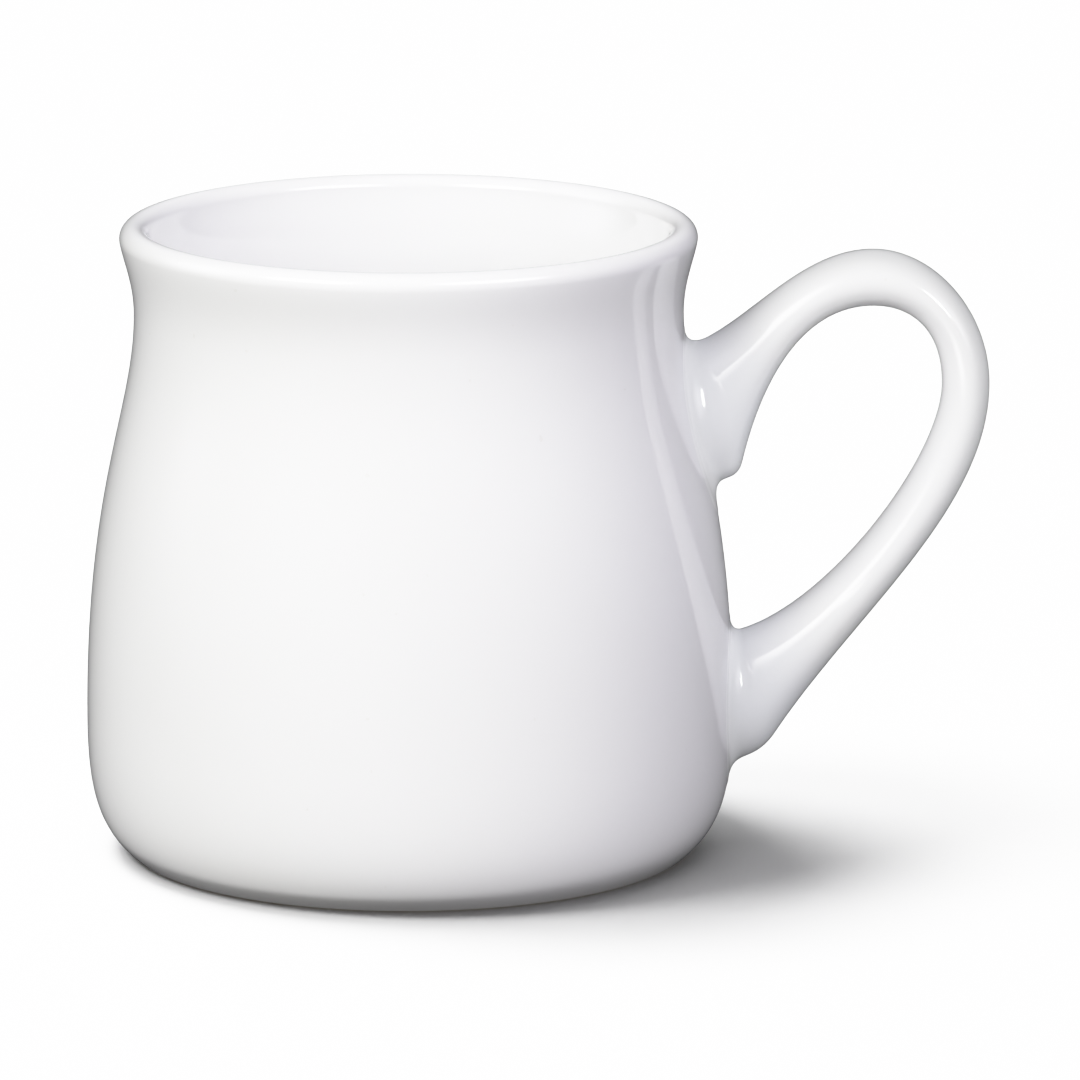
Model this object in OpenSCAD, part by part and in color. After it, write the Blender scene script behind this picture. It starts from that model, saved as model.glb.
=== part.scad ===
// Glazed white mug with a soft bell shape and a looped side handle.
// Millimetres. The origin is the centre of the foot on the table, +Z is up,
// and the handle stands out along +X.

/* [Cup] */
// Height from the table to the top of the lip
mug_h = 92; // [84:1:104]
// Diameter at the belly, the widest place
belly_d = 94; // [88:1:102]
// Height of the belly above the table
belly_z = 19; // [16:0.5:24]
// Diameter at the neck, the narrowest place
neck_d = 79.4; // [74:0.2:84]
// Depth of the neck below the lip
neck_drop = 13; // [11:0.5:17]
// Diameter over the rounded lip
lip_d = 83.4; // [80:0.2:90]
// Finished wall thickness, which the lip rounds over
wall_t = 4.2; // [3.4:0.1:5.2]
// Lean of the wall below the lip, from upright
lip_lean = 10; // [4:1:18]

/* [Foot and floor] */
// Diameter where the outside would meet the table
foot_d = 81.6; // [76:0.2:84]
// Slope at which the outside leaves the table
foot_angle = 38; // [30:1:50]
// Width of the flat ring that stands on the table
foot_ring_w = 3.6; // [2.5:0.1:6]
// Height of the hollow inside the foot ring
recess_h = 2; // [1.2:0.1:3]
// Finished thickness of the floor
floor_t = 5; // [4:0.1:7]
// Radius of the flat part of the floor inside the cup
floor_flat_r = 30; // [24:0.5:34]

/* [Handle] */
// Reach of the handle beyond the belly
handle_reach = 37; // [32:0.5:44]
// Depth of the top of the handle below the lip
handle_drop = 4.2; // [2:0.1:8]
// Distance of the top of the handle beyond the belly
crest_out = 20; // [16:0.5:22]
// Height of the outermost point of the handle above the table
side_z = 68; // [62:0.5:70]
// Thickness at the top of the loop, seen from the side
crest_t = 8.1; // [6.5:0.1:9.5]
// Thickness at the outermost point, seen from the side
side_t = 6.9; // [5.5:0.1:8.5]
// Width across the top of the loop
crest_w = 12; // [10:0.2:15]
// Width across the outermost point
side_w = 11.2; // [9:0.2:14]
// Width across both ends, before they spread on the wall
root_w = 14.8; // [12:0.2:18]
// Spread of the soft fillet to each side on the wall
root_spread = 2.8; // [1.5:0.1:4]

/* [Upper end of the handle] */
// Depth of its upper edge below the lip
upper_drop = 16.9; // [16:0.1:19]
// Height of the end, between its upper and lower edges
upper_h = 18.3; // [16:0.1:21]
// How far the upper edge stands off the wall
upper_top_stand = 3.5; // [2.5:0.1:4.5]
// How far the lower lobe stands off the wall
upper_lobe_stand = 4.9; // [3.5:0.1:5.5]
// Slope at which the upper edge climbs away
upper_climb = 29; // [24:1:36]
// Slope at which the lower edge climbs away
upper_lobe_climb = 77; // [72:1:86]

/* [Lower end of the handle] */
// Height of its lower edge above the table
lower_z = 16.5; // [14:0.1:19]
// Height of the end, between its lower and upper edges
lower_h = 15.2; // [13:0.1:18]
// How far the upper edge stands off the wall
lower_top_stand = 1.7; // [1.2:0.1:2.5]
// How far the lower lobe stands off the wall
lower_lobe_stand = 6.3; // [5:0.1:7]
// Slope at which the upper edge climbs away
lower_climb = 17; // [12:1:24]
// Slope at which the lower edge climbs away
lower_lobe_climb = 57; // [52:1:66]

/* [Glaze] */
// Thickness of the fired glaze, and of the slip that bonds the handle
glaze_t = 0.4; // [0.3:0.05:0.5]

/* [Hidden] */

glaze_colour = "#f7f7f9";
clay_colour = "#d8cdc0";
slip_colour = "#e6ded3";

// Steps along each stretch of the outlines, and round the cup
foot_steps = 14;
side_steps = 26;
flare_steps = 8;
floor_steps = 12;
recess_steps = 6;
lip_step = 15;
round_steps = 144;
// Steps along the five stretches of the handle, and round its section
handle_steps = [7, 10, 10, 12, 7];
section_steps = 28;
cap_shares = [0.35, 0.7];

belly_r = belly_d / 2;
foot_r = foot_d / 2;
neck_r = neck_d / 2;
neck_z = mug_h - neck_drop;
lip_r = wall_t / 2;
lip_centre = [lip_d / 2 - lip_r, mug_h - lip_r];
floor_z = recess_h + floor_t;

// Pulls of the outside curves, as shares of the height that each one spans
foot_pull_share = 0.29;
belly_low_share = 0.59;
belly_high_share = 0.59;
neck_low_share = 0.24;
neck_high_share = 0.44;
lip_low_share = 0.25;
// Pulls of the inside corner, and of the recess inside the foot ring
corner_pull_share = 0.6;
recess_run_share = 1.3;
recess_pull_share = 0.5;
// Where the glaze starts on the foot curve and on the recess curve
foot_bare_share = 0.1;
recess_bare_share = 0.3;

function polar(length, angle) = length * [cos(angle), sin(angle)];
function bez(p, t) =
    pow(1 - t, 3) * p[0] + 3 * pow(1 - t, 2) * t * p[1] + 3 * (1 - t) * t * t * p[2] + pow(t, 3) * p[3];
function bez_slope(p, t) =
    pow(1 - t, 2) * (p[1] - p[0]) + 2 * (1 - t) * t * (p[2] - p[1]) + t * t * (p[3] - p[2]);
// A point on a curve, moved to the left of its direction of travel
function beside(p, t, gap) =
    let (d = bez_slope(p, t))
    bez(p, t) + gap * [-d[1], d[0]] / norm(d);
function run(p, gap, steps, from = 0) =
    [for (i = [0 : steps]) beside(p, from + (1 - from) * i / steps, gap)];
function tail(list) = [for (i = [1 : len(list) - 1]) list[i]];
function backwards(list) = [for (i = [len(list) - 1 : -1 : 0]) list[i]];
function lip_arc(radius, from, to) =
    let (steps = round((to - from) / lip_step))
    [for (i = [0 : steps]) lip_centre + polar(radius, from + (to - from) * i / steps)];

// The outside of the cup, from the table up to the lip
lip_start = lip_centre + polar(lip_r, -lip_lean);
flare_h = lip_start[1] - neck_z;
side_h = neck_z - belly_z;
foot_curve = [
    [foot_r, 0],
    [foot_r, 0] + polar(foot_pull_share * belly_z, foot_angle),
    [belly_r, belly_z * (1 - belly_low_share)],
    [belly_r, belly_z]
];
side_curve = [
    [belly_r, belly_z],
    [belly_r, belly_z + belly_high_share * side_h],
    [neck_r, neck_z - neck_low_share * side_h],
    [neck_r, neck_z]
];
flare_curve = [
    [neck_r, neck_z],
    [neck_r, neck_z + neck_high_share * flare_h],
    lip_start - polar(lip_low_share * flare_h, 90 - lip_lean),
    lip_start
];
// The corner inside the cup, from the wall down to the flat floor
cavity_r = belly_r - wall_t;
floor_curve = [
    [cavity_r, belly_z],
    [cavity_r, belly_z + corner_pull_share * (floor_z - belly_z)],
    [floor_flat_r + corner_pull_share * (cavity_r - floor_flat_r), floor_z],
    [floor_flat_r, floor_z]
];
// The step from the foot ring up into the recess
foot_out_r = foot_r - glaze_t / sin(foot_angle);
foot_in_r = foot_out_r - foot_ring_w;
recess_r = foot_in_r - recess_run_share * recess_h;
recess_curve = [
    [foot_in_r, 0],
    [foot_in_r, recess_pull_share * recess_h],
    [recess_r + recess_pull_share * (foot_in_r - recess_r), recess_h],
    [recess_r, recess_h]
];

// The outside from a share of the foot curve up to the start of the lip
function outside_line(gap, from = 0) = concat(
    run(foot_curve, gap, foot_steps, from),
    tail(run(side_curve, gap, side_steps)),
    tail(run(flare_curve, gap, flare_steps))
);
// The inside from the lip down to the middle of the floor
function inside_line(gap) = concat(
    backwards(run(flare_curve, wall_t - gap, flare_steps)),
    tail(backwards(run(side_curve, wall_t - gap, side_steps))),
    tail(run(floor_curve, gap, floor_steps)),
    [[0, floor_z - gap]]
);
function recess_line(gap, from) = concat(
    run(recess_curve, -gap, recess_steps, from),
    [[0, recess_h + gap]]
);

// Radius of the finished outside at a height, and the wall at one side of the middle
wall_table = [for (p = outside_line(0)) [p[1], p[0]]];
function wall_r(z) = lookup(z, wall_table);
function wall_x(y, z) = sqrt(pow(wall_r(z), 2) - y * y);
function on_wall(z, stand = 0) = [wall_r(z) + stand, z];

module revolve(outline, colour) {
    // The start of the turn faces away from the handle
    color(colour)
        rotate([0, 0, 180])
            rotate_extrude($fn = round_steps)
                polygon(outline);
}

// Side view of the handle: an outer and an inner edge in five stretches, from
// the upper end on the wall, over the loop, to the lower end on the wall.
// Places where the fillets leave the wall, as shares of each end's height
fillet_top_shares = [0.06, -0.03];
fillet_lobe_shares = [0.39, 0.02];
lower_fillet_top_shares = [0.125, 0.015];
lower_fillet_lobe_shares = [0.49, 0.13];
// Pulls of the two edges, as shares of the stretch between their end points
outer_pull_shares = [[0, 0.69], [0.31, 0.35], [0.34, 0.41], [0.305, 0.36], [0.61, 0]];
inner_pull_shares = [[0, 0.55], [0.41, 0.35], [0.395, 0.48], [0.23, 0.29], [0.38, 0]];

upper_top = mug_h - upper_drop;
upper_low = upper_top - upper_h;
lower_top = lower_z + lower_h;
crest_x = belly_r + crest_out;
crest_z = mug_h - handle_drop;
side_x = belly_r + handle_reach;
crest_edge = [crest_x, crest_z];
side_edge = [side_x, side_z];

function stretch(a, a_angle, b, b_angle, shares) =
    let (span = norm(b - a))
    [a, a + polar(shares[0] * span, a_angle), b - polar(shares[1] * span, b_angle), b];
// From two places on the wall, out to the edge of an end of the handle
function off_wall(z, turn_z, edge, angle, share) =
    [on_wall(z), on_wall(turn_z), edge - polar(share * norm(edge - on_wall(z)), angle), edge];

outer_edge = [
    off_wall(upper_top + fillet_top_shares[0] * upper_h, upper_top + fillet_top_shares[1] * upper_h,
             on_wall(upper_top, upper_top_stand), upper_climb, outer_pull_shares[0][1]),
    stretch(on_wall(upper_top, upper_top_stand), upper_climb, crest_edge, 0, outer_pull_shares[1]),
    stretch(crest_edge, 0, side_edge, -90, outer_pull_shares[2]),
    stretch(side_edge, -90, on_wall(lower_z, lower_lobe_stand), 180 + lower_lobe_climb,
            outer_pull_shares[3]),
    backwards(off_wall(lower_z - lower_fillet_lobe_shares[0] * lower_h,
                       lower_z - lower_fillet_lobe_shares[1] * lower_h,
                       on_wall(lower_z, lower_lobe_stand), lower_lobe_climb, outer_pull_shares[4][0]))
];
inner_edge = [
    off_wall(upper_low - fillet_lobe_shares[0] * upper_h, upper_low - fillet_lobe_shares[1] * upper_h,
             on_wall(upper_low, upper_lobe_stand), upper_lobe_climb, inner_pull_shares[0][1]),
    stretch(on_wall(upper_low, upper_lobe_stand), upper_lobe_climb, crest_edge - [0, crest_t], 0,
            inner_pull_shares[1]),
    stretch(crest_edge - [0, crest_t], 0, side_edge - [side_t, 0], -90, inner_pull_shares[2]),
    stretch(side_edge - [side_t, 0], -90, on_wall(lower_top, lower_top_stand), 180 + lower_climb,
            inner_pull_shares[3]),
    backwards(off_wall(lower_top + lower_fillet_top_shares[0] * lower_h,
                       lower_top + lower_fillet_top_shares[1] * lower_h,
                       on_wall(lower_top, lower_top_stand), lower_climb, inner_pull_shares[4][0]))
];
// Half of the width across, along the same five stretches
foot_half = root_w / 2 + root_spread;
half_width = [
    [foot_half, root_w / 2 + root_spread / 4, root_w / 2, root_w / 2],
    [root_w / 2, (root_w + crest_w) / 4, crest_w / 2, crest_w / 2],
    [crest_w / 2, crest_w / 2, side_w / 2, side_w / 2],
    [side_w / 2, side_w / 2, (root_w + side_w) / 4, root_w / 2],
    [root_w / 2, root_w / 2, root_w / 2 + root_spread / 4, foot_half]
];
stretches = len(outer_edge);
function along(curves, u) =
    let (i = min(floor(u), stretches - 1))
    bez(curves[i], u - i);
// How closely a section follows the round of the wall, from 1 at each end to 0
function wall_follow(u) =
    let (t = min(u, stretches - u, 1))
    pow(1 - t * t, 2);

// One section of the handle, drawn inwards by a gap and shrunk by a share
function section(u, gap, share = 1) =
    let (
        out = along(outer_edge, u),
        inn = along(inner_edge, u),
        half = norm(out - inn) / 2,
        reach = share * (half - gap),
        wide = share * (along(half_width, u) - gap),
        follow = wall_follow(u)
    )
    [for (i = [0 : section_steps - 1])
        let (
            angle = 360 * i / section_steps,
            place = (1 + cos(angle) * reach / half) / 2,
            p = inn + (out - inn) * place,
            y = wide * sin(angle),
            chord = wall_r(inn[1]) + (wall_r(out[1]) - wall_r(inn[1])) * place
        )
        [p[0] + follow * (wall_x(y, p[1]) - chord), y, p[1]]];
handle_places = [
    for (i = [0 : stretches - 1])
        for (j = [0 : handle_steps[i] - 1])
            i + j / handle_steps[i],
    stretches
];
function handle_sections(gap) = [for (u = handle_places) section(u, gap)];

// Triangles between each ring of points and the next one
function band(a, b, n) = [
    for (i = [0 : n - 1])
        let (j = (i + 1) % n)
        each [[a * n + i, b * n + i, b * n + j], [a * n + i, b * n + j, a * n + j]]
];
function fan(ring, tip, n) = [for (i = [0 : n - 1]) [ring * n + (i + 1) % n, tip, ring * n + i]];
function flip(faces) = [for (f = faces) [f[2], f[1], f[0]]];

// The shape of one end of the handle on the wall, as a block along X
module footprint(u) {
    outline = [for (p = section(u, glaze_t)) [p[1], p[2]]];
    translate([cavity_r / 2, 0, 0])
        rotate([90, 0, 90])
            linear_extrude(height = belly_r)
                polygon(outline);
}

module glaze_shell() {
    rotate([0, 0, 180])
        rotate_extrude($fn = round_steps)
            polygon(concat(
                outside_line(0, foot_bare_share),
                tail(lip_arc(lip_r, -lip_lean, 90)),
                backwards(lip_arc(lip_r - glaze_t, -lip_lean, 90)),
                tail(backwards(outside_line(glaze_t, foot_bare_share)))
            ));
}

// Wall, floor and foot ring, pressed in one piece and bare under the foot
module clay_body() {
    revolve(concat(
        [[foot_in_r, 0], [foot_out_r, 0]],
        outside_line(glaze_t),
        tail(lip_arc(lip_r - glaze_t, -lip_lean, 180 - lip_lean)),
        tail(inside_line(glaze_t)),
        backwards(recess_line(glaze_t, recess_bare_share))
    ), clay_colour);
}

// The pulled loop, with both ends spread to lie on the wall
module clay_handle() {
    n = section_steps;
    body = handle_sections(glaze_t);
    rings = concat(
        [for (s = cap_shares) section(0, glaze_t, s)],
        body,
        [for (s = backwards(cap_shares)) section(stretches, glaze_t, s)]
    );
    last = len(rings) - 1;
    tips = [section(0, glaze_t, 0)[0], section(stretches, glaze_t, 0)[0]];
    color(clay_colour)
        polyhedron(
            points = concat([for (r = rings) each r], tips),
            faces = concat(
                [for (i = [0 : last - 1]) each band(i, i + 1, n)],
                fan(0, (last + 1) * n, n),
                flip(fan(last, (last + 1) * n + 1, n))
            )
        );
}

// Slip that bonds the upper end of the handle to the wall
module upper_handle_slip() {
    color(slip_colour)
        intersection() {
            glaze_shell();
            footprint(0);
        }
}

// Slip that bonds the lower end of the handle to the wall
module lower_handle_slip() {
    color(slip_colour)
        intersection() {
            glaze_shell();
            footprint(stretches);
        }
}

// Glaze over the outside, open where the two ends of the handle are bonded
module outside_glaze() {
    color(glaze_colour)
        difference() {
            glaze_shell();
            footprint(0);
            footprint(stretches);
        }
}

// Glaze that lines the cup, from the top of the lip to the floor
module inside_glaze() {
    revolve(concat(
        lip_arc(lip_r, 90, 180 - lip_lean),
        tail(inside_line(0)),
        backwards(inside_line(glaze_t)),
        tail(backwards(lip_arc(lip_r - glaze_t, 90, 180 - lip_lean)))
    ), glaze_colour);
}

// Glaze in the hollow inside the foot ring
module recess_glaze() {
    revolve(concat(
        recess_line(0, recess_bare_share),
        backwards(recess_line(glaze_t, recess_bare_share))
    ), glaze_colour);
}

// Glaze round the handle, a closed sleeve from wall to wall
module handle_glaze() {
    n = section_steps;
    rings = concat(handle_sections(0), backwards(handle_sections(glaze_t)));
    count = len(rings);
    color(glaze_colour)
        polyhedron(
            points = [for (r = rings) each r],
            faces = [for (i = [0 : count - 1]) each band(i, (i + 1) % count, n)]
        );
}

clay_body();
clay_handle();
upper_handle_slip();
lower_handle_slip();
outside_glaze();
inside_glaze();
recess_glaze();
handle_glaze();
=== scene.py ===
import math

import bpy
import numpy as np
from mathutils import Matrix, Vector

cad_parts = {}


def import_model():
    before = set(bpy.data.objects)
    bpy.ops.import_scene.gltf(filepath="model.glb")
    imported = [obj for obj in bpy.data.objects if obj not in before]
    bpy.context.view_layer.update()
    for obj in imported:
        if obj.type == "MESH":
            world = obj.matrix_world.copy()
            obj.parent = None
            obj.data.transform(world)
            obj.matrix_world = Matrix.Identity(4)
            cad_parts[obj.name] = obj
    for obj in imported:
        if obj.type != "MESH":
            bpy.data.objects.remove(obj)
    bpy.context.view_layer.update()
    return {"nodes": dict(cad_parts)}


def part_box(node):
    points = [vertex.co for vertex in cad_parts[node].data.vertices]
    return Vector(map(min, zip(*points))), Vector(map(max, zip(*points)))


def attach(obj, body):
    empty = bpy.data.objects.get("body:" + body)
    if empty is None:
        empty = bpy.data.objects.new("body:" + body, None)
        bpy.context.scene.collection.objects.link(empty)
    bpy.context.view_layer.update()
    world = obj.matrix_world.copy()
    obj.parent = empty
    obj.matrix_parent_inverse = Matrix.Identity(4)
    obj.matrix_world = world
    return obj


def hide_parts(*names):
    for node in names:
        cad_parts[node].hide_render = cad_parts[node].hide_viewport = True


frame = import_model()

# Sizes in metres, as the part is drawn, and angles in degrees. The height comes from the frame.
MUG_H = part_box("inside_glaze")[1].z
BELLY_R = 0.047
BELLY_Z = 0.019
NECK_R = 0.0397
NECK_DROP = 0.013
LIP_R = 0.0417
WALL = 0.0042
LIP_LEAN = 10
FOOT_R = 0.0408
FOOT_ANGLE = 38
FOOT_RING_W = 0.0036
RECESS_H = 0.002
RECESS_SLOPE = 1.3
FLOOR_T = 0.005
FLOOR_FLAT_R = 0.030
GLAZE = 0.0004

# The shares of the foot's and the recess's curve that stay bare
FOOT_BARE = 0.025
RECESS_BARE = 0.3

# The handle, seen from the side, and its widths across
HANDLE_REACH = 0.037
HANDLE_DROP = 0.0042
CREST_OUT = 0.020
SIDE_Z = 0.068
CREST_T = 0.0081
SIDE_T = 0.0069
CREST_W = 0.012
SIDE_W = 0.0112
ROOT_W = 0.0148
ROOT_SPREAD = 0.0028
UPPER_DROP = 0.0169
UPPER_H = 0.0183
UPPER_TOP_STAND = 0.0035
UPPER_LOBE_STAND = 0.0049
LOWER_Z = 0.0165
LOWER_H = 0.0152
LOWER_TOP_STAND = 0.0017
LOWER_LOBE_STAND = 0.0063
GLAZE_LAP = 0.0012
GLAZE_SINK = 0.00004
GLAZE_LIFT = 0.00008

# Angles of the handle's edges at its roots, in degrees
UPPER_CLIMB = 29
UPPER_LOBE_CLIMB = 77
LOWER_CLIMB = 17
LOWER_LOBE_CLIMB = 57

# Colours, and places where the glaze has a ring-shaped mark, or pools at the handle's roots and is
# darkened there by painted shade
GLAZE_WHITE = (0.935, 0.935, 0.935, 1)
GLAZE_THIN = (0.92, 0.918, 0.915, 1)
# Bluish and darker at the handle's roots: partly the tint of pooled glaze, partly painted shade in the
# creases there
GLAZE_POOLED_AND_SHADED = (0.89, 0.895, 0.93, 1)
GLAZE_FLECK = (0.88, 0.875, 0.86, 1)
CLAY_LIGHT = (0.62, 0.54, 0.44, 1)
CLAY_DARK = (0.47, 0.39, 0.3, 1)
CLAY_GRIT = (0.2, 0.15, 0.1, 1)
SLIP_LIGHT = (0.66, 0.6, 0.52, 1)
SLIP_DARK = (0.56, 0.49, 0.41, 1)
POOL_AND_SHADE_PLACES = ((0.0435, 0, 0.0655), (0.0495, 0, 0.0235))
POOL_AND_SHADE_R = 0.017
POOL_AND_SHADE_CORE_R = 0.006
RING_MARK = (0.0525, -0.0068, 0.0265)
RING_R = 0.0013
RING_W = 0.0004

# Gloss of the glaze and the clays
GLAZE_IOR = 1.52
GLAZE_ROUGH = (0.03, 0.06)
CLAY_IOR = 1.5
CLAY_SPECULAR = 0.3
CLAY_ROUGH = 0.85
SLIP_ROUGH = 0.8
ROUGH_SWING = 0.08

# Scales of the noises, and the depths of what they raise, in metres
CLOUD_SCALE = 28
SMEAR_SCALE = 60
FLECK_SCALE = 1000
WAVE_SCALE = 75
WAVE_DEPTH = 0.00004
PEEL_SCALE = 420
PEEL_DEPTH = 0.0000025
RING_DEPTH = 0.00002
PATCH_SCALE = 150
GRAIN_SCALE = 2600
GRAIN_DEPTH = 0.00003
PORE_SCALE = 1100
PORE_DEPTH = 0.00005

# How finely the meshes are drawn
ROUND_STEPS = 256
CURVE_STEPS = 48
LIP_STEPS = 24
SECTION_STEPS = 120
STRETCH_STEPS = (36, 44, 44, 60, 36)
CORNER_ANGLE = 35
TINY = 1e-9


def xy(*values):
    return np.array(values, float)


def polar(length, degrees):
    """A step of a length in a direction."""
    return length * xy(math.cos(math.radians(degrees)), math.sin(math.radians(degrees)))


def bezier(p, t):
    """A point on a cubic curve."""
    return (1 - t) ** 3 * p[0] + 3 * (1 - t) ** 2 * t * p[1] + 3 * (1 - t) * t * t * p[2] + t ** 3 * p[3]


def bezier_slope(p, t):
    """Its direction there; the length is a third of the true slope's."""
    return (1 - t) ** 2 * (p[1] - p[0]) + 2 * (1 - t) * t * (p[2] - p[1]) + t * t * (p[3] - p[2])


# Outlines of the cup

NECK_Z = MUG_H - NECK_DROP
LIP_ROUND = WALL / 2
LIP_CENTRE = xy(LIP_R - LIP_ROUND, MUG_H - LIP_ROUND)
LIP_START = LIP_CENTRE + polar(LIP_ROUND, -LIP_LEAN)
FLARE_H = LIP_START[1] - NECK_Z
SIDE_H = NECK_Z - BELLY_Z
FLOOR_Z = RECESS_H + FLOOR_T
CAVITY_R = BELLY_R - WALL
FOOT_OUT_R = FOOT_R - GLAZE / math.sin(math.radians(FOOT_ANGLE))
FOOT_IN_R = FOOT_OUT_R - FOOT_RING_W
RECESS_R = FOOT_IN_R - RECESS_SLOPE * RECESS_H

FOOT_CURVE = (
    xy(FOOT_R, 0),
    xy(FOOT_R, 0) + polar(0.29 * BELLY_Z, FOOT_ANGLE),
    xy(BELLY_R, 0.41 * BELLY_Z),
    xy(BELLY_R, BELLY_Z),
)
SIDE_CURVE = (
    xy(BELLY_R, BELLY_Z),
    xy(BELLY_R, BELLY_Z + 0.59 * SIDE_H),
    xy(NECK_R, NECK_Z - 0.24 * SIDE_H),
    xy(NECK_R, NECK_Z),
)
FLARE_CURVE = (
    xy(NECK_R, NECK_Z),
    xy(NECK_R, NECK_Z + 0.44 * FLARE_H),
    LIP_START - polar(0.25 * FLARE_H, 90 - LIP_LEAN),
    LIP_START,
)
FLOOR_CURVE = (
    xy(CAVITY_R, BELLY_Z),
    xy(CAVITY_R, BELLY_Z + 0.6 * (FLOOR_Z - BELLY_Z)),
    xy(FLOOR_FLAT_R + 0.6 * (CAVITY_R - FLOOR_FLAT_R), FLOOR_Z),
    xy(FLOOR_FLAT_R, FLOOR_Z),
)
RECESS_CURVE = (
    xy(FOOT_IN_R, 0),
    xy(FOOT_IN_R, 0.5 * RECESS_H),
    xy(RECESS_R + 0.5 * (FOOT_IN_R - RECESS_R), RECESS_H),
    xy(RECESS_R, RECESS_H),
)


def run(curve, gap, start=0.0):
    """Points beside a curve, to the left of its direction of travel."""
    points = []
    for t in np.linspace(start, 1, CURVE_STEPS + 1):
        slope = bezier_slope(curve, t)
        points.append(bezier(curve, t) + gap * xy(-slope[1], slope[0]) / math.hypot(*slope))
    return points


def arc(centre, radius, start, end):
    return [centre + polar(radius, a) for a in np.linspace(start, end, LIP_STEPS + 1)]


def joined(*runs):
    """One list of points from several, without the points that they share."""
    points = []
    for line in runs:
        for p in line:
            if not points or math.dist(points[-1], p) > TINY:
                points.append(p)
    return points


def outside_line(gap, start=0.0):
    """From the foot up to the lip, drawn inwards by a gap."""
    return joined(run(FOOT_CURVE, gap, start), run(SIDE_CURVE, gap), run(FLARE_CURVE, gap))


def inside_line(gap):
    """From the lip down to the middle of the floor, drawn into the clay by a gap."""
    return joined(
        run(FLARE_CURVE, WALL - gap)[::-1],
        run(SIDE_CURVE, WALL - gap)[::-1],
        run(FLOOR_CURVE, gap),
        [xy(0, FLOOR_Z - gap)],
    )


def recess_line(gap, start):
    """From the foot ring to the middle of the recess, drawn into the clay by a gap."""
    return joined(run(RECESS_CURVE, -gap, start), [xy(0, RECESS_H + gap)])


OUTSIDE = np.array(outside_line(0))


def wall_r(z):
    """The cup's radius at a height."""
    return np.interp(z, OUTSIDE[:, 1], OUTSIDE[:, 0])


# Meshes

def smooth_mesh(name, verts, faces):
    """A piece with smooth shading, but crisp where two faces meet at a corner."""
    mesh = bpy.data.meshes.new(name)
    mesh.from_pydata([tuple(v) for v in verts], [], faces)
    mesh.update()
    mesh.polygons.foreach_set("use_smooth", [True] * len(mesh.polygons))
    mesh.set_sharp_from_angle(angle=math.radians(CORNER_ANGLE))
    obj = bpy.data.objects.new(name, mesh)
    bpy.context.scene.collection.objects.link(obj)
    return obj


def lathe(name, outline, closed):
    """Turns an outline of (radius, height) points about Z. An open outline starts and ends on the axis."""
    turn = np.arange(ROUND_STEPS) * 2 * math.pi / ROUND_STEPS
    verts, rings = [], []
    for r, z in outline:
        if r < TINY:
            rings.append([len(verts)] * ROUND_STEPS)
            verts.append((0, 0, z))
        else:
            rings.append(list(range(len(verts), len(verts) + ROUND_STEPS)))
            verts.extend((r * math.cos(a), r * math.sin(a), z) for a in turn)
    faces = []
    pairs = list(zip(rings, rings[1:])) + ([(rings[-1], rings[0])] if closed else [])
    for low, high in pairs:
        for i in range(ROUND_STEPS):
            j = (i + 1) % ROUND_STEPS
            corners = [low[i], low[j], high[j], high[i]]
            # A face at the axis loses the corner that it has twice
            faces.append(list(dict.fromkeys(corners)))
    return smooth_mesh(name, verts, faces)


def tube(name, rings):
    """A closed skin through rings of points, the last one joined to the first."""
    count = len(rings[0])
    faces = []
    for k in range(len(rings)):
        a, b = k * count, (k + 1) % len(rings) * count
        for i in range(count):
            j = (i + 1) % count
            faces.append([a + i, b + i, b + j, a + j])
    return smooth_mesh(name, np.concatenate(rings), faces)


# The handle: an outer and an inner edge in five stretches, and the width across

def on_wall(z, stand=0.0):
    """A point of the side view on the wall, or standing off it."""
    return xy(wall_r(z) + stand, z)


def stretch(a, a_angle, b, b_angle, pulls):
    """A curve that leaves one point and reaches the next at given angles."""
    span = math.dist(a, b)
    return (a, a + polar(pulls[0] * span, a_angle), b - polar(pulls[1] * span, b_angle), b)


def off_wall(z, turn_z, edge, angle, pull):
    """A curve that runs along the wall, then turns out to the edge of a root."""
    return (on_wall(z), on_wall(turn_z), edge - polar(pull * math.dist(edge, on_wall(z)), angle), edge)


UPPER_TOP = MUG_H - UPPER_DROP
UPPER_LOW = UPPER_TOP - UPPER_H
LOWER_TOP = LOWER_Z + LOWER_H
CREST = xy(BELLY_R + CREST_OUT, MUG_H - HANDLE_DROP)
SIDE = xy(BELLY_R + HANDLE_REACH, SIDE_Z)
CREST_IN = CREST - xy(0, CREST_T)
SIDE_IN = SIDE - xy(SIDE_T, 0)
UPPER_TOP_EDGE = on_wall(UPPER_TOP, UPPER_TOP_STAND)
UPPER_LOW_EDGE = on_wall(UPPER_LOW, UPPER_LOBE_STAND)
LOWER_TOP_EDGE = on_wall(LOWER_TOP, LOWER_TOP_STAND)
LOWER_LOW_EDGE = on_wall(LOWER_Z, LOWER_LOBE_STAND)

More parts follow.
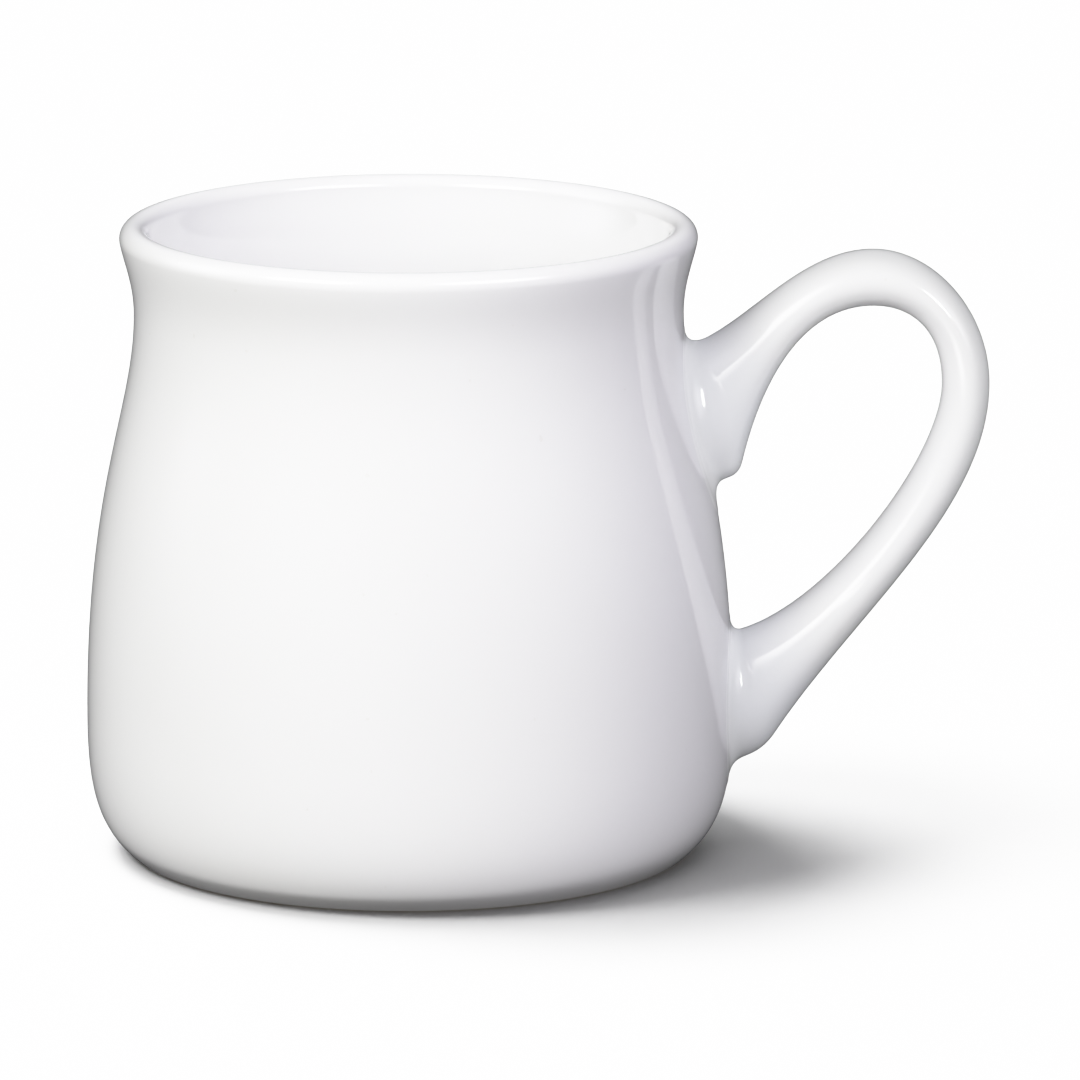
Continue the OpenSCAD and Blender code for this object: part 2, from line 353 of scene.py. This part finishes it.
OUTER_EDGE = (
    off_wall(
        UPPER_TOP + 0.06 * UPPER_H, UPPER_TOP - 0.03 * UPPER_H, UPPER_TOP_EDGE, UPPER_CLIMB, 0.69
    ),
    stretch(UPPER_TOP_EDGE, UPPER_CLIMB, CREST, 0, (0.31, 0.35)),
    stretch(CREST, 0, SIDE, -90, (0.34, 0.41)),
    stretch(SIDE, -90, LOWER_LOW_EDGE, 180 + LOWER_LOBE_CLIMB, (0.305, 0.36)),
    off_wall(
        LOWER_Z - 0.49 * LOWER_H, LOWER_Z - 0.13 * LOWER_H, LOWER_LOW_EDGE, LOWER_LOBE_CLIMB, 0.61
    )[::-1],
)
INNER_EDGE = (
    off_wall(
        UPPER_LOW - 0.39 * UPPER_H, UPPER_LOW - 0.02 * UPPER_H, UPPER_LOW_EDGE, UPPER_LOBE_CLIMB, 0.55
    ),
    stretch(UPPER_LOW_EDGE, UPPER_LOBE_CLIMB, CREST_IN, 0, (0.41, 0.35)),
    stretch(CREST_IN, 0, SIDE_IN, -90, (0.395, 0.48)),
    stretch(SIDE_IN, -90, LOWER_TOP_EDGE, 180 + LOWER_CLIMB, (0.23, 0.29)),
    off_wall(
        LOWER_TOP + 0.125 * LOWER_H, LOWER_TOP + 0.015 * LOWER_H, LOWER_TOP_EDGE, LOWER_CLIMB, 0.38
    )[::-1],
)
FOOT_HALF = ROOT_W / 2 + ROOT_SPREAD
HALF_WIDTH = (
    (FOOT_HALF, ROOT_W / 2 + ROOT_SPREAD / 4, ROOT_W / 2, ROOT_W / 2),
    (ROOT_W / 2, (ROOT_W + CREST_W) / 4, CREST_W / 2, CREST_W / 2),
    (CREST_W / 2, CREST_W / 2, SIDE_W / 2, SIDE_W / 2),
    (SIDE_W / 2, SIDE_W / 2, (ROOT_W + SIDE_W) / 4, ROOT_W / 2),
    (ROOT_W / 2, ROOT_W / 2, ROOT_W / 2 + ROOT_SPREAD / 4, FOOT_HALF),
)
STRETCHES = len(OUTER_EDGE)


def along(curves, u):
    """A point on a row of curves, one for each whole step of u."""
    i = min(int(u), STRETCHES - 1)
    return bezier(curves[i], u - i)


def wall_follow(u):
    """How closely a section follows the round of the wall, from 1 at each end to 0."""
    t = min(1.0, u, STRETCHES - u)
    return (1 - t * t) ** 2


def section(u, gap, sink=0.0, spread=0.0):
    """One section of the handle, drawn inwards by a gap; at an end it can be sunk into the wall."""
    out, inn = along(OUTER_EDGE, u), along(INNER_EDGE, u)
    half = math.dist(out, inn) / 2
    angle = np.arange(SECTION_STEPS) * 2 * math.pi / SECTION_STEPS
    place = (1 + np.cos(angle) * (half - gap + spread) / half) / 2
    p = inn + (out - inn) * place[:, None]
    y = (along(HALF_WIDTH, u) - gap + spread) * np.sin(angle)
    chord = wall_r(inn[1]) + (wall_r(out[1]) - wall_r(inn[1])) * place
    x = p[:, 0] + wall_follow(u) * (np.sqrt(wall_r(p[:, 1]) ** 2 - y ** 2) - chord) - sink
    return np.stack([x, y, p[:, 1]], 1)


def handle_sections(gap, lift=0.0):
    """The sections of one skin of the handle, which can stand a little off the wall at its ends."""
    places = [i + k / n for i, n in enumerate(STRETCH_STEPS) for k in range(n)] + [STRETCHES]
    return [section(u, gap, -lift * wall_follow(u)) for u in places]


# Materials

def new_material(name):
    """A material with its nodes, its links and its shader."""
    mat = bpy.data.materials.new(name)
    mat.use_nodes = True
    nodes = mat.node_tree.nodes
    return mat, nodes, mat.node_tree.links, nodes["Principled BSDF"]


def add(nodes, kind, **settings):
    """Adds a node; each setting goes to the input of that name, or else to the node itself."""
    node = nodes.new(kind)
    for key, value in settings.items():
        if key in node.inputs:
            node.inputs[key].default_value = value
        else:
            setattr(node, key, value)
    return node


def noise(nodes, links, place, scale, detail=2.0, roughness=0.5):
    node = add(nodes, "ShaderNodeTexNoise", Scale=scale, Detail=detail, Roughness=roughness)
    links.new(place, node.inputs["Vector"])
    return node.outputs["Fac"]


def remap(nodes, links, value, low, high, to_low, to_high, kind="LINEAR"):
    """Maps one range of a value to another."""
    node = add(nodes, "ShaderNodeMapRange", interpolation_type=kind)
    for key, number in (("From Min", low), ("From Max", high), ("To Min", to_low), ("To Max", to_high)):
        node.inputs[key].default_value = number
    links.new(value, node.inputs["Value"])
    return node.outputs["Result"]


def blend(nodes, links, amount, below, above):
    """Mixes two colours, or a colour socket and a colour."""
    node = add(nodes, "ShaderNodeMix", data_type="RGBA")
    links.new(amount, node.inputs["Factor"])
    if isinstance(below, tuple):
        node.inputs["A"].default_value = below
    else:
        links.new(below, node.inputs["A"])
    node.inputs["B"].default_value = above
    return node.outputs["Result"]


def away(nodes, links, place, point):
    """The distance to a point."""
    node = add(nodes, "ShaderNodeVectorMath", operation="DISTANCE")
    node.inputs[1].default_value = point
    links.new(place, node.inputs[0])
    return node.outputs["Value"]


def bump(nodes, links, height, depth, normal=None):
    """Depth is in metres, for a height that runs from 0 to 1."""
    node = add(nodes, "ShaderNodeBump", Strength=1.0, Distance=depth)
    links.new(height, node.inputs["Height"])
    if normal:
        links.new(normal, node.inputs["Normal"])
    return node.outputs["Normal"]


def glaze_material():
    """A thick white glaze: glossy, a little uneven, and bluish and darker round the handle's roots, partly
    pooled glaze and partly painted shade.
    """
    mat, nodes, links, shader = new_material("white_glaze")
    place = nodes.new("ShaderNodeTexCoord").outputs["Object"]
    shader.inputs["IOR"].default_value = GLAZE_IOR

    cloud = remap(nodes, links, noise(nodes, links, place, CLOUD_SCALE), 0.35, 0.7, 0, 1, "SMOOTHSTEP")
    colour = blend(nodes, links, cloud, GLAZE_WHITE, GLAZE_THIN)
    # Painted shade with a pooled-glaze tint: bluish-grey and darker near each root of the handle
    for root in POOL_AND_SHADE_PLACES:
        reach = away(nodes, links, place, root)
        pool_and_shade = remap(nodes, links, reach, POOL_AND_SHADE_R, POOL_AND_SHADE_CORE_R, 0, 1, "SMOOTHSTEP")
        colour = blend(nodes, links, pool_and_shade, colour, GLAZE_POOLED_AND_SHADED)
    fleck = remap(nodes, links, noise(nodes, links, place, FLECK_SCALE, 0), 0.87, 0.9, 0, 1)
    colour = blend(nodes, links, fleck, colour, GLAZE_FLECK)
    links.new(colour, shader.inputs["Base Color"])

    smear = noise(nodes, links, place, SMEAR_SCALE, 3)
    links.new(remap(nodes, links, smear, 0.3, 0.7, *GLAZE_ROUGH), shader.inputs["Roughness"])

    waves = bump(nodes, links, noise(nodes, links, place, WAVE_SCALE, 0), WAVE_DEPTH)
    peel = bump(nodes, links, noise(nodes, links, place, PEEL_SCALE, 1), PEEL_DEPTH, waves)
    reach = away(nodes, links, place, RING_MARK)
    rise = remap(nodes, links, reach, RING_R - RING_W, RING_R, 0, 1, "SMOOTHSTEP")
    fall = remap(nodes, links, reach, RING_R, RING_R + RING_W, 1, 0, "SMOOTHSTEP")
    ring = add(nodes, "ShaderNodeMath", operation="MINIMUM")
    links.new(rise, ring.inputs[0])
    links.new(fall, ring.inputs[1])
    links.new(bump(nodes, links, ring.outputs["Value"], RING_DEPTH, peel), shader.inputs["Normal"])
    return mat


def clay_material(name, light, dark, rough):
    """Fired clay with a fine grain, darker grit and small pores."""
    mat, nodes, links, shader = new_material(name)
    place = nodes.new("ShaderNodeTexCoord").outputs["Object"]
    shader.inputs["IOR"].default_value = CLAY_IOR
    shader.inputs["Specular IOR Level"].default_value = CLAY_SPECULAR

    patch = remap(nodes, links, noise(nodes, links, place, PATCH_SCALE, 3), 0.3, 0.7, 0, 1)
    colour = blend(nodes, links, patch, light, dark)
    grain = noise(nodes, links, place, GRAIN_SCALE, 2, 0.6)
    grit = remap(nodes, links, grain, 0.62, 0.72, 0, 0.7)
    colour = blend(nodes, links, grit, colour, CLAY_GRIT)
    links.new(colour, shader.inputs["Base Color"])

    uneven = remap(nodes, links, grain, 0.3, 0.7, rough - ROUGH_SWING, rough + ROUGH_SWING)
    links.new(uneven, shader.inputs["Roughness"])
    pores = remap(nodes, links, noise(nodes, links, place, PORE_SCALE, 1), 0.3, 0.42, 0, 1, "SMOOTHSTEP")
    grained = bump(nodes, links, grain, GRAIN_DEPTH)
    links.new(bump(nodes, links, pores, PORE_DEPTH, grained), shader.inputs["Normal"])
    return mat


# The pieces

def outside_glaze():
    return lathe("glaze_outside", joined(
        outside_line(0, FOOT_BARE),
        arc(LIP_CENTRE, LIP_ROUND, -LIP_LEAN, 90),
        arc(LIP_CENTRE, LIP_ROUND - GLAZE, 90, -LIP_LEAN),
        outside_line(GLAZE, FOOT_BARE)[::-1],
    ), closed=True)


def inside_glaze():
    return lathe("glaze_inside", joined(
        inside_line(GLAZE)[::-1],
        arc(LIP_CENTRE, LIP_ROUND - GLAZE, 180 - LIP_LEAN, 90),
        arc(LIP_CENTRE, LIP_ROUND, 90, 180 - LIP_LEAN),
        inside_line(0),
    ), closed=False)


def recess_glaze():
    return lathe("glaze_recess", joined(
        recess_line(0, RECESS_BARE)[::-1],
        recess_line(GLAZE, RECESS_BARE),
    ), closed=False)


def body_clay():
    return lathe("body_clay", joined(
        recess_line(GLAZE, RECESS_BARE)[::-1],
        [xy(FOOT_IN_R, 0), xy(FOOT_OUT_R, 0)],
        outside_line(GLAZE),
        arc(LIP_CENTRE, LIP_ROUND - GLAZE, -LIP_LEAN, 180 - LIP_LEAN),
        inside_line(GLAZE),
    ), closed=False)


def handle_glaze():
    """The skin of the handle, with a thin lap on the wall at each end."""
    outer = handle_sections(0, GLAZE_LIFT)
    inner = handle_sections(GLAZE)
    first, last = (section(u, 0, GLAZE_SINK, GLAZE_LAP) for u in (0, STRETCHES))
    return tube("glaze_handle", [first] + outer + [last] + inner[::-1])


def dress():
    """Puts the drawn pieces in the place of the solids, and gives the other solids their clay or slip."""
    glaze = glaze_material()
    clay = clay_material("bare_clay", CLAY_LIGHT, CLAY_DARK, CLAY_ROUGH)
    slip = clay_material("dried_slip", SLIP_LIGHT, SLIP_DARK, SLIP_ROUGH)
    made = (
        (outside_glaze(), "outside_glaze", "white_glaze", glaze),
        (inside_glaze(), "inside_glaze", "white_glaze", glaze),
        (recess_glaze(), "recess_glaze", "white_glaze", glaze),
        (handle_glaze(), "handle_glaze", "white_glaze", glaze),
        (body_clay(), "clay_body", "bare_clay", clay),
    )
    for piece, node, slot, material in made:
        piece.data.materials.append(material)
        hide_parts(node)
        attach(piece, "root")
    kept = (("clay_handle", clay), ("upper_handle_slip", slip), ("lower_handle_slip", slip))
    for node, material in kept:
        frame["nodes"][node].data.materials.clear()
        frame["nodes"][node].data.materials.append(material)


# Camera, lights and floor

CAMERA_AT = Vector((0, -1.3, 0.33))
CAMERA_AIM = Vector((0.01893, 0, 0.04506))
SENSOR = 36
LENS = 305.6
KNEE = 0.6
FILM_WHITE = 1.9
FILM_SHARES = (0, 0.1, 0.2, 0.32, 0.45, 0.6, 0.8)
FLOOR_R = 20
FLOOR_WHITE = (0.8, 0.8, 0.8, 1)
SHADE_R = 0.0485
SHADE_DROP = 0.0002
SHADE_SIDES = 64
LIGHT_DISTANCE = 1.6
WORLD_STRENGTH = 0.06
WORLD_COLOUR = (0.99, 0.98, 1, 1)


def camera():
    """The photograph's viewing angle."""
    data = bpy.data.cameras.new("camera")
    data.sensor_width = SENSOR
    data.lens = LENS
    cam = bpy.data.objects.new("camera", data)
    cam.location = CAMERA_AT
    cam.rotation_euler = (CAMERA_AIM - CAMERA_AT).to_track_quat("-Z", "Y").to_euler()
    bpy.context.scene.collection.objects.link(cam)
    bpy.context.scene.camera = cam


def direction(azimuth, elevation):
    """Azimuth 0 is at the camera's side, 90 at the handle's."""
    a, e = math.radians(azimuth), math.radians(elevation)
    return Vector((math.sin(a) * math.cos(e), -math.cos(a) * math.cos(e), math.sin(e)))


def group(name, objects):
    """A collection of objects, for a light to fall on or be blocked by."""
    made = bpy.data.collections.new(name)
    for obj in objects:
        made.objects.link(obj)
    return made


def put_light(data, place, heading, lit):
    """Adds a light that falls only on the objects of one collection."""
    light = bpy.data.objects.new(data.name, data)
    light.location = place
    light.rotation_euler = (-heading).to_track_quat("-Z", "Y").to_euler()
    light.light_linking.receiver_collection = lit
    light.visible_camera = False
    bpy.context.scene.collection.objects.link(light)
    return light


def soften(data, edge):
    """Fades a light from its middle to its rim, over the outer part given by edge."""
    data.use_nodes = True
    nodes, links = data.node_tree.nodes, data.node_tree.links
    uv = nodes.new("ShaderNodeTexCoord")
    reach = add(nodes, "ShaderNodeVectorMath", operation="DISTANCE")
    reach.inputs[1].default_value = (0.5, 0.5, 0)
    fade = add(nodes, "ShaderNodeMapRange", interpolation_type="SMOOTHSTEP")
    fade.inputs["From Min"].default_value = 0.5
    fade.inputs["From Max"].default_value = 0.5 * (1 - edge)
    links.new(uv.outputs["UV"], reach.inputs[0])
    links.new(reach.outputs["Value"], fade.inputs["Value"])
    links.new(fade.outputs["Result"], nodes["Emission"].inputs["Strength"])


def softbox(name, lit, azimuth, elevation, width, height, edge, power, colour, roll=0):
    """A soft rectangular light that points at the middle of the mug. Angles are in degrees."""
    data = bpy.data.lights.new(name, "AREA")
    data.shape = "RECTANGLE"
    data.size, data.size_y = width, height
    data.energy = power
    data.color = colour
    soften(data, edge)
    heading = direction(azimuth, elevation)
    light = put_light(data, Vector((0, 0, MUG_H / 2)) + LIGHT_DISTANCE * heading, heading, lit)
    light.rotation_euler.rotate_axis("Z", math.radians(roll))
    return light


def fill(*settings):
    """A softbox that the glaze doesn't mirror."""
    softbox(*settings).visible_glossy = False


def glow(name, lit, x, y, depth, size, power, colour):
    """Light thrown up by a bright floor."""
    data = bpy.data.lights.new(name, "AREA")
    data.size = size
    data.energy = power
    data.color = colour
    soften(data, 1)
    put_light(data, Vector((x, y, -depth)), Vector((0, 0, -1)), lit)


def sun(name, azimuth, elevation, spread, strength, lit, shading):
    """A light on one collection, in which only another collection throws a shadow."""
    data = bpy.data.lights.new(name, "SUN")
    data.energy = strength
    data.angle = math.radians(spread)
    heading = direction(azimuth, elevation)
    light = put_light(data, heading, heading, lit)
    light.light_linking.blocker_collection = shading


def sheet(name, radius, z, sides):
    """A level stage piece that throws no light back."""
    mesh = bpy.data.meshes.new(name)
    turn = np.arange(sides) * 2 * math.pi / sides
    mesh.from_pydata([(radius * math.cos(a), radius * math.sin(a), z) for a in turn], [], [range(sides)])
    obj = bpy.data.objects.new(name, mesh)
    bpy.context.scene.collection.objects.link(obj)
    obj.visible_diffuse = obj.visible_glossy = False
    return obj


def floor():
    """A floor that the lights make pure white, and that does not shine back on the mug."""
    obj = sheet("floor", FLOOR_R, 0, 4)
    obj.visible_shadow = False
    mat, *_, shader = new_material("pale_floor")
    shader.inputs["Base Color"].default_value = FLOOR_WHITE
    shader.inputs["Roughness"].default_value = 1
    shader.inputs["Specular IOR Level"].default_value = 0
    obj.data.materials.append(mat)
    return obj


def foot_shade():
    """Keeps light from below away from the foot, as the floor in the mug's own shadow does."""
    obj = sheet("floor_shade", SHADE_R, -SHADE_DROP, SHADE_SIDES)
    obj.visible_camera = False


def world(strength, colour):
    """Even light from all round."""
    studio = bpy.data.worlds.new("studio")
    studio.use_nodes = True
    background = studio.node_tree.nodes["Background"]
    background.inputs["Color"].default_value = colour
    background.inputs["Strength"].default_value = strength
    bpy.context.scene.world = studio


def film_curve(settings):
    """Keeps tones up to KNEE, then rolls them off to white at FILM_WHITE, as a photograph does."""
    settings.view_transform = "Standard"
    settings.use_curve_mapping = True
    mapping = settings.curve_mapping
    mapping.white_level = (FILM_WHITE, FILM_WHITE, FILM_WHITE)
    points = mapping.curves[3].points
    points[0].location = (0, 0)
    points[1].location = (1, 1)
    for t in FILM_SHARES:
        x = KNEE + t * (FILM_WHITE - KNEE)
        y = KNEE + (1 - KNEE) * (1 - (1 - t) ** ((FILM_WHITE - KNEE) / (1 - KNEE)))
        points.new(x / FILM_WHITE, y)
    points.new(KNEE / 2 / FILM_WHITE, KNEE / 2)
    mapping.update()


dress()
camera()
stage_floor = floor()
foot_shade()
pieces = [o for o in bpy.context.scene.objects if o.type == "MESH" and not o.name.startswith("floor")]
mug = group("mug", pieces)
handle = group("handle", [o for o in pieces if "handle" in o.name])
cup = group("cup", [o for o in pieces if "handle" not in o.name])
ground = group("ground", [stage_floor])
world(WORLD_STRENGTH, WORLD_COLOUR)
softbox("key_left", cup, -44, 38, 1.3, 0.8, 0.6, 47.8, (0.99, 1, 0.94))
softbox("key_right", cup, 36, 38, 1.5, 0.7, 0.4, 37.4, (0.93, 0.91, 1))
softbox("side_left", cup, -95, 25, 1.6, 1.8, 1, 29.3, (0.91, 0.89, 1))
softbox("back", mug, 180, 30, 2.4, 1.6, 1, 7.5, (0.92, 0.94, 1))
fill("top_fill", cup, 0, 90, 0.7, 0.7, 1, 14, (1, 0.98, 1))
fill("back_fill", mug, 165, 0, 2.4, 1.8, 1, 75, (0.97, 0.98, 1))
fill("bounce", cup, -20, -28, 2.4, 0.6, 1, 33, (1, 0.99, 0.99))
glow("glow_front", cup, -0.05, -0.45, 0.04, 1.2, 1.2, (1, 0.98, 0.96))
softbox("handle_left", handle, -44, 34, 2, 1.6, 1, 88.6, (1, 1, 1))
softbox("handle_right", handle, 60, 20, 1.6, 1.6, 1, 30, (0.94, 0.94, 1))
softbox("handle_under", handle, -30, -20, 2, 1, 1, 38, (1, 0.99, 1))
softbox("handle_dash", handle, 43, 22, 0.3, 0.62, 0.2, 15, (1, 1, 1))
softbox("handle_line", handle, -20, 15, 0.05, 1.0, 0.2, 0.8, (1, 1, 1), 50)
sun("floor_left", 235, 68, 20, 2.9, ground, cup)
sun("floor_side", 255, 50, 70, 0.7, ground, cup)
sun("floor_front", 285, 56, 20, 1.8, ground, cup)
sun("floor_back", 180, 74, 70, 1.2, ground, cup)
film_curve(bpy.context.scene.view_settings)
